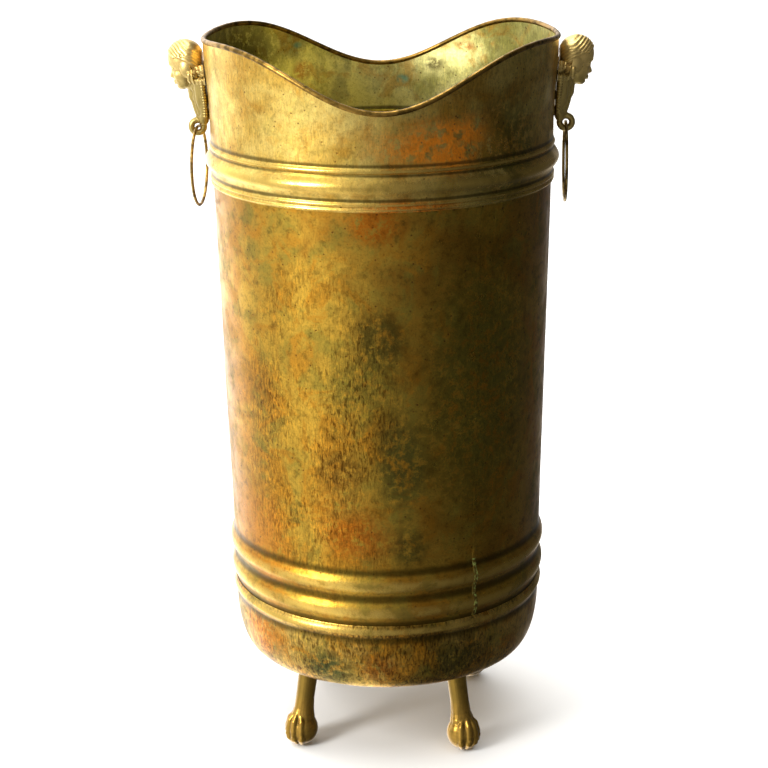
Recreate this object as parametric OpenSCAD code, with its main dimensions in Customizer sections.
// Footed brass umbrella stand: a spun pan, a seamed tube and a flared collar with a
// scooped wired rim, two cast bust handles with drop rings, and four cast paw feet.
// Millimetres, +Z up. The origin is on the floor, under the middle of the body.
// The handles are on the X axis, and the front of the stand faces -Y.

/* [Body] */
// Outside radius of the tube where the collar's skirt ends
body_r = 140; // [132:1:150]
// How much the tube's radius grows for each millimetre of height
body_taper = 0.0211; // [0:0.001:0.03]
// Thickness of the brass sheet
sheet = 1.2; // [0.8:0.1:1.6]
// Height of the pan's flat underside above the floor
pan_z = 79.2; // [76:0.1:90]
// Height at which the pan's lip ends
lip_z = 141; // [140:0.5:142]
// Height of the collar's lower edge
collar_z = 488; // [460:1:520]
// How far the two lower ribs stand out
rib_h = 3.4; // [1.5:0.1:4.5]
// How far the collar's big bead stands out
bead_h = 4.8; // [2.5:0.1:6]

/* [Rim] */
// Mean height of the rim above the collar's lower edge
rim_rise = 97; // [92:1:110]
// Half the height between the rim's ends and the bottom of its front scoop
rim_wave = 21.7; // [0:0.1:24]
// Radius of the rim's wired roll
rim_bead_r = 2.2; // [1.8:0.1:3]
// How far the collar flares outwards at its top
flare = 3.4; // [0:0.1:4]

/* [Handles] */
// Distance from the collar's skirt to the drop ring's plane
ring_out = 10.2; // [9.5:0.1:12]
// Height of the ring's eye above the collar's lower edge
eye_rise = 44.2; // [42:0.1:50]
// Radius of the drop ring to the middle of its wire
ring_r = 32.5; // [26:0.5:36]
// Radius of the ring's wire
ring_wire_r = 1.3; // [1.2:0.1:1.8]
// Radius of the eye that the ring hangs in
eye_r = 2.4; // [2.3:0.1:2.8]
// How far the left ring hangs turned clockwise in its eye, in degrees
left_ring_turn = 6; // [-3:0.5:6]
// How far the right ring hangs turned clockwise in its eye, in degrees
right_ring_turn = 3; // [-6:0.5:3]

/* [Feet] */
// Distance from the body's axis to a foot's stud
leg_u = 90; // [84:1:96]
// Distance from the body's axis to the middle of a paw
paw_u = 100; // [96:0.5:106]
// Radius of a leg
leg_r = 8.3; // [6.5:0.1:9]
// Radius of a paw
paw_r = 14.6; // [12:0.1:14.6]
// How far the four feet are turned clockwise from the diagonals, in degrees
foot_turn = 5; // [0:0.5:10]

/* [Hidden] */
$fn = 96;

lap = 8.6;                       // height of the collar's skirt over the tube
tube_top = collar_z + lap;
lip_h = 9.5;                     // height of the pan's lip round the tube
tube_z = lip_z - lip_h;
pan_round_h = 46;                // height of the pan's rounded corner
pan_round_w = 14.7;              // width of the pan's rounded corner
rib_zs = [lip_z + 12, lip_z + 35.5];
rib_w = 12;                      // half the height of a rib
skirt_r = body_r + body_taper * lap + sheet;
flare_z = collar_z + 55;         // where the collar starts to flare
flare_span = 55;
bead_z = collar_z + 19.5;
small_bead_z = collar_z + 31.5;
rim_z = collar_z + rim_rise;
rim_roll_r = skirt_r + flare - sheet / 2;
ring_x = skirt_r + ring_out;
eye_z = collar_z + eye_rise;
bust_x = skirt_r + 4.4;          // plane of the flat back of a bust
stud_zs = [eye_z + 9.3, eye_z + 22.3];
stud_r = 2;
seam_a = -57.6;                  // direction of the tube's seam
seam_w = 2.2;                    // width of the seam's braze, in degrees
seam_h = 0.5;                    // how far the braze stands out
foot_angles = [for (a = [225, 315, 135, 45]) a - foot_turn];
foot_stud_r = 3;
flange_h = 3;

brass = [0.72, 0.56, 0.24];
old_brass = [0.58, 0.45, 0.20];
cast_brass = [0.66, 0.52, 0.25];
bright_brass = [0.80, 0.66, 0.36];

// A smooth rise and fall of height h, centred on c, reaching nothing w away.
function bump(z, c, w, h) = abs(z - c) < w ? h * (1 + cos(180 * (z - c) / w)) / 2 : 0;
function ease(t) = t <= 0 ? 0 : t >= 1 ? 1 : (1 - cos(180 * t)) / 2;

// Outside radius of the plain tapered tube, of the ribbed tube, and of the collar.
function wall_r(z) = body_r + body_taper * (z - collar_z);
function tube_r(z) = wall_r(z) + bump(z, rib_zs[0], rib_w, rib_h) + bump(z, rib_zs[1], rib_w, rib_h);
function collar_r(z) = skirt_r + flare * ease((z - flare_z) / flare_span)
    + bump(z, collar_z + 1.8, 1.6, 0.9) + bump(z, collar_z + 5.8, 2.2, 1.1)
    + bump(z, bead_z, 10.5, bead_h) + bump(z, small_bead_z, 3.2, 1.5);

// Height of the rim's middle line over a place x, the same at the front and the back.
function rim_at(x) = rim_z - rim_wave * cos(180 * x / (0.9 * body_r));
function rim_slope(x) = rim_wave * sin(180 * x / (0.9 * body_r)) * PI / (0.9 * body_r);
// Radius of the rim's middle line in the direction a, found by two corrections.
function roll_r(z) = skirt_r - sheet / 2 + flare * ease((z - flare_z) / flare_span);
function rim_r(a) = let (z0 = rim_at(rim_roll_r * cos(a)))
    roll_r(rim_at(roll_r(z0) * cos(a)));

function steps(from, to, count) = [for (i = [0:count]) from + (to - from) * i / count];

tube_heights = concat([tube_z, lip_z],
    steps(lip_z + 1.5, rib_zs[1] + rib_w + 1, 32), [tube_top]);
collar_heights = concat([collar_z], steps(collar_z + 0.6, collar_z + lap, 12),
    steps(bead_z - 9.5, bead_z + 8, 12), steps(small_bead_z - 3, small_bead_z + 3.4, 8),
    steps(flare_z, rim_z + rim_wave + 4, 10));

// ---- sheet-metal body ----

// The pan's corner is a quarter of an ellipse, r inside and out by the wall's thickness.
function pan_corner(r, z, w, h) = [for (i = [0:14]) let (a = -90 + 90 * i / 14)
    [r - w + w * cos(a), z + h + h * sin(a)]];

module pan() {
    outer_r = wall_r(tube_z) + 0.4;
    lip_in = wall_r(tube_z) + body_taper * lip_h;
    step_w = 1.1;                // how far the lip steps out over the pan's wall
    lip_edge = 0.6;              // rounding of the lip's upper edge
    color(old_brass) difference() {
        rotate_extrude() polygon(concat(
            [[0, pan_z]],
            pan_corner(outer_r, pan_z, pan_round_w, pan_round_h),
            [[outer_r, tube_z - 1.4], [outer_r + step_w - 0.1, tube_z - 0.4],
             [outer_r + step_w, tube_z + 1], [lip_in + sheet, lip_z - lip_edge],
             [lip_in + sheet - 0.5, lip_z], [lip_in, lip_z],
             [lip_in, tube_z], [outer_r - sheet, tube_z]],
            [for (i = [14:-1:0]) pan_corner(outer_r - sheet, pan_z + sheet,
                pan_round_w, pan_round_h - sheet)[i]],
            [[0, pan_z + sheet]]));
        for (a = foot_angles) rotate(a) translate([leg_u, 0, pan_z - 1])
            cylinder(r = foot_stud_r + 0.3, h = sheet + 2);
    }
}

module body_tube() {
    color(brass) rotate_extrude() polygon(concat(
        [for (z = tube_heights) [tube_r(z), z]],
        [for (i = [len(tube_heights) - 1:-1:0]) [tube_r(tube_heights[i]) - sheet, tube_heights[i]]]));
}

// The tube's one upright seam, a low line of braze that follows the ribs.
module seam_braze() {
    heights = [for (z = tube_heights) if (z > tube_z && z < tube_top) z];
    top = collar_z - 0.3;
    all = concat([lip_z + 0.3], [for (z = heights) if (z > lip_z + 0.3) z], [top]);
    color(old_brass) rotate(seam_a - seam_w / 2) rotate_extrude(angle = seam_w)
        polygon(concat([for (z = all) [tube_r(z) + seam_h, z]],
            [for (i = [len(all) - 1:-1:0]) [tube_r(all[i]), all[i]]]));
}

module collar_sheet() {
    rotate_extrude() polygon(concat(
        [for (z = collar_heights) [collar_r(z), z]],
        [for (i = [len(collar_heights) - 1:-1:0]) let (z = collar_heights[i])
            [z <= tube_top ? skirt_r - sheet - body_taper * (tube_top - z) : collar_r(z) - sheet, z]]));
}

// Everything above the rim's middle line, less the roll, cut straight through along Y.
module rim_cut() {
    reach = body_r + 20;
    xs = steps(-reach, reach, 56);
    translate([0, reach, 0]) rotate([90, 0, 0]) linear_extrude(2 * reach)
        polygon(concat(
            [for (x = xs) [x, rim_at(x) - 0.9 * rim_bead_r * sqrt(1 + pow(rim_slope(x), 2))]],
            [[reach, rim_z + 80], [-reach, rim_z + 80]]));
}

module collar() {
    color(brass) difference() {
        collar_sheet();
        rim_cut();
        for (side = [-1, 1]) for (z = stud_zs) translate([side * skirt_r, 0, z])
            rotate([0, 90, 0]) cylinder(r = stud_r + 0.25, h = 12, center = true);
    }
}

// The wired roll along the rim: a round section swept round the scooped edge.
module rim_roll() {
    turns = 96;
    sides = 10;
    ring = [for (i = [0:turns - 1]) let (a = 360 * i / turns, r = rim_r(a))
        [r * cos(a), r * sin(a), rim_at(r * cos(a))]];
    points = [for (i = [0:turns - 1]) let (
            p = ring[i],
            ahead = ring[(i + 1) % turns] - ring[(i + turns - 1) % turns],
            along = ahead / norm(ahead),
            a = 360 * i / turns,
            out = [cos(a), sin(a), 0] - along * (along * [cos(a), sin(a), 0]),
            side = out / norm(out),
            up = cross(along, side))
        for (j = [0:sides - 1]) let (b = 360 * j / sides)
            p + rim_bead_r * (cos(b) * side - sin(b) * up)];
    faces = [for (i = [0:turns - 1]) for (j = [0:sides - 1]) let (
            m = (i + 1) % turns,
            n = (j + 1) % sides)
        [i * sides + j, i * sides + n, m * sides + n, m * sides + j]];
    color(bright_brass) polyhedron(points, faces, convexity = 6);
}

// ---- handles ----

// The balls that a bust is made of, in groups that are drawn together: how far each is
// from the bust's back, how far sideways, how high above the eye, and its radius.
skull = [[15, 0, 57.6, 12.6], [17, 0, 54, 12.8]];
face = [[17.5, 0, 52, 11.4], [19.5, 0, 35.5, 6.2]];
neck = [[12, 0, 46, 8.6], [5.8, 0, 29, 5.8]];
shoulders = [[3, -15.5, 40, 5.4], [3, 15.5, 40, 5.4], [3.4, -4.6, 13, 3.8], [3.4, 4.6, 13, 3.8]];
breast = [[4.6, 0, 25, 6], [4.6, 0, 8, 4.6]];
eye_boss_r = 8;
eye_boss_h = 6.4;
flat_from = 7;                   // the flat back's lower end above the eye
flat_h = 38;

module balls(group) {
    hull() for (b = group)
        translate([bust_x + b[0], b[1], eye_z + b[2]]) sphere(r = b[3], $fn = 32);
}

// One cast bust, made for the right side: a head that looks outwards and a little
// down, shoulders that narrow to the eye, and a flat back with two stud holes.
module bust() {
    color(cast_brass) difference() {
        union() {
            balls(skull);
            balls(face);
            balls(neck);
            balls(shoulders);
            balls(breast);
            translate([ring_x, 0, eye_z]) rotate([90, 0, 0]) cylinder(r = eye_boss_r, h = eye_boss_h, center = true);
        }
        translate([bust_x - 20, -40, eye_z + flat_from]) cube([20, 80, flat_h]);
        translate([ring_x, 0, eye_z]) rotate([90, 0, 0]) cylinder(r = eye_r, h = 30, center = true);
        for (z = stud_zs) translate([bust_x - 1, 0, z]) rotate([0, 90, 0]) cylinder(r = stud_r, h = 6);
    }
}

module drop_ring(side, turn) {
    color(bright_brass) translate([side * ring_x, 0, eye_z]) rotate(-turn)
        translate([0, 0, -ring_r]) rotate([0, 90, 0])
            rotate_extrude() translate([ring_r, 0]) circle(r = ring_wire_r, $fn = 32);
}

nut_r = 4.05;                    // a nut's corner radius
nut_h = 3;
washer_h = 0.9;
inner_x = skirt_r - sheet - 0.2; // where a washer's face clears the collar's curve
saddle_gap = 0.05;               // keeps a spacer's saddle just clear of the collar

module handle_studs() {
    color(bright_brass) for (z = stud_zs) translate([inner_x - washer_h - nut_h - 1.5, 0, z])
        rotate([0, 90, 0]) cylinder(r = stud_r, h = bust_x + 5 - inner_x + washer_h + nut_h + 1.5);
}

// Stand-off bushes between the bust and the round wall, with saddle-shaped ends.
module handle_spacers() {
    color(old_brass) difference() {
        for (z = stud_zs) translate([skirt_r - 3, 0, z]) rotate([0, 90, 0])
            cylinder(r = 4, h = bust_x - skirt_r + 3);
        for (z = stud_zs) translate([skirt_r - 4, 0, z]) rotate([0, 90, 0])
            cylinder(r = stud_r, h = 20);
        rotate_extrude($fn = 360) polygon(concat([[0, eye_z]],
            [for (z = steps(eye_z, eye_z + 32, 32)) [collar_r(z) + saddle_gap, z]], [[0, eye_z + 32]]));
    }
}

module handle_washers() {
    color(bright_brass) for (z = stud_zs) translate([inner_x - washer_h, 0, z])
        rotate([0, 90, 0]) difference() {
            cylinder(r = 4.6, h = washer_h);
            translate([0, 0, -1]) cylinder(r = stud_r + 0.1, h = washer_h + 2);
        }
}

module handle_nuts() {
    color(bright_brass) for (z = stud_zs) translate([inner_x - washer_h - nut_h, 0, z])
        rotate([0, 90, 0]) difference() {
            cylinder(r = nut_r, h = nut_h, $fn = 6);
            translate([0, 0, -1]) cylinder(r = stud_r, h = nut_h + 2);
        }
}

// ---- feet ----

flange_r = 15;
sole_r = 7;
ankle = [paw_u - 3.5, 0, 31];    // middle of a foot's ankle
lean = atan2(ankle[0] - leg_u, pan_z - ankle[2]);
toe_angles = [-54, -18, 18, 54];
knuckle = [10, 0, 18];           // a toe's upper end, from the middle of the paw
knuckle_r = 3.2;
claw = [11.2, 0, 8];
claw_r = 3.8;

// One cast paw foot in the direction a: a flange under the pan, a leg that splays
// outwards, and a paw with four toes on a flat sole.
module paw_foot(a) {
    color(cast_brass) rotate(a) difference() {
        union() {
            translate([leg_u, 0, pan_z - flange_h]) cylinder(r = flange_r, h = flange_h);
            translate([leg_u + 1.4, 0, pan_z - flange_h - 12]) cylinder(r1 = leg_r, r2 = 12, h = 12.01);
            intersection() {
                translate(ankle) rotate([0, -lean, 0]) cylinder(r1 = leg_r - 0.6, r2 = leg_r + 0.4, h = 52);
                cylinder(r = 140, h = pan_z - 1);
            }
            hull() {
                translate([paw_u, 0, paw_r + 1.2]) sphere(r = paw_r, $fn = 32);
                translate([paw_u, 0, 0]) cylinder(r = sole_r, h = 1, $fn = 32);
                translate(ankle) sphere(r = leg_r - 0.2, $fn = 32);
            }
            for (t = toe_angles) translate([paw_u, 0, 0]) rotate(t) hull() {
                translate(knuckle) sphere(r = knuckle_r, $fn = 16);
                translate(claw) sphere(r = claw_r, $fn = 16);
            }
        }
        translate([leg_u, 0, pan_z - 20]) cylinder(r = foot_stud_r, h = 30);
    }
}

module foot_front_left() { paw_foot(foot_angles[0]); }
module foot_front_right() { paw_foot(foot_angles[1]); }
module foot_back_left() { paw_foot(foot_angles[2]); }
module foot_back_right() { paw_foot(foot_angles[3]); }

foot_washer_h = 1.4;
foot_nut_h = 5;
floor_z = pan_z + sheet;         // the pan's inner floor

module foot_studs() {
    color(bright_brass) for (a = foot_angles) rotate(a) translate([leg_u, 0, pan_z - 19])
        cylinder(r = foot_stud_r, h = 19 + sheet + foot_washer_h + foot_nut_h + 2);
}

module foot_washers() {
    color(bright_brass) for (a = foot_angles) rotate(a) translate([leg_u, 0, floor_z])
        difference() {
            cylinder(r = 8, h = foot_washer_h);
            translate([0, 0, -1]) cylinder(r = foot_stud_r + 0.2, h = foot_washer_h + 2);
        }
}

module foot_nuts() {
    color(bright_brass) for (a = foot_angles) rotate(a)
        translate([leg_u, 0, floor_z + foot_washer_h]) difference() {
            cylinder(r = 5.8, h = foot_nut_h, $fn = 6);
            translate([0, 0, -1]) cylinder(r = foot_stud_r, h = foot_nut_h + 2);
        }
}

module left() { mirror([1, 0, 0]) children(); }

pan();
body_tube();
seam_braze();
collar();
rim_roll();
left() bust();  // bust_left
bust();  // bust_right
drop_ring(-1, left_ring_turn);  // ring_left
drop_ring(1, right_ring_turn);  // ring_right
left() handle_studs();  // handle_studs_left
handle_studs();  // handle_studs_right
left() handle_spacers();  // handle_spacers_left
handle_spacers();  // handle_spacers_right
left() handle_washers();  // handle_washers_left
handle_washers();  // handle_washers_right
left() handle_nuts();  // handle_nuts_left
handle_nuts();  // handle_nuts_right
foot_front_left();
foot_front_right();
foot_back_left();
foot_back_right();
foot_studs();
foot_washers();
foot_nuts();
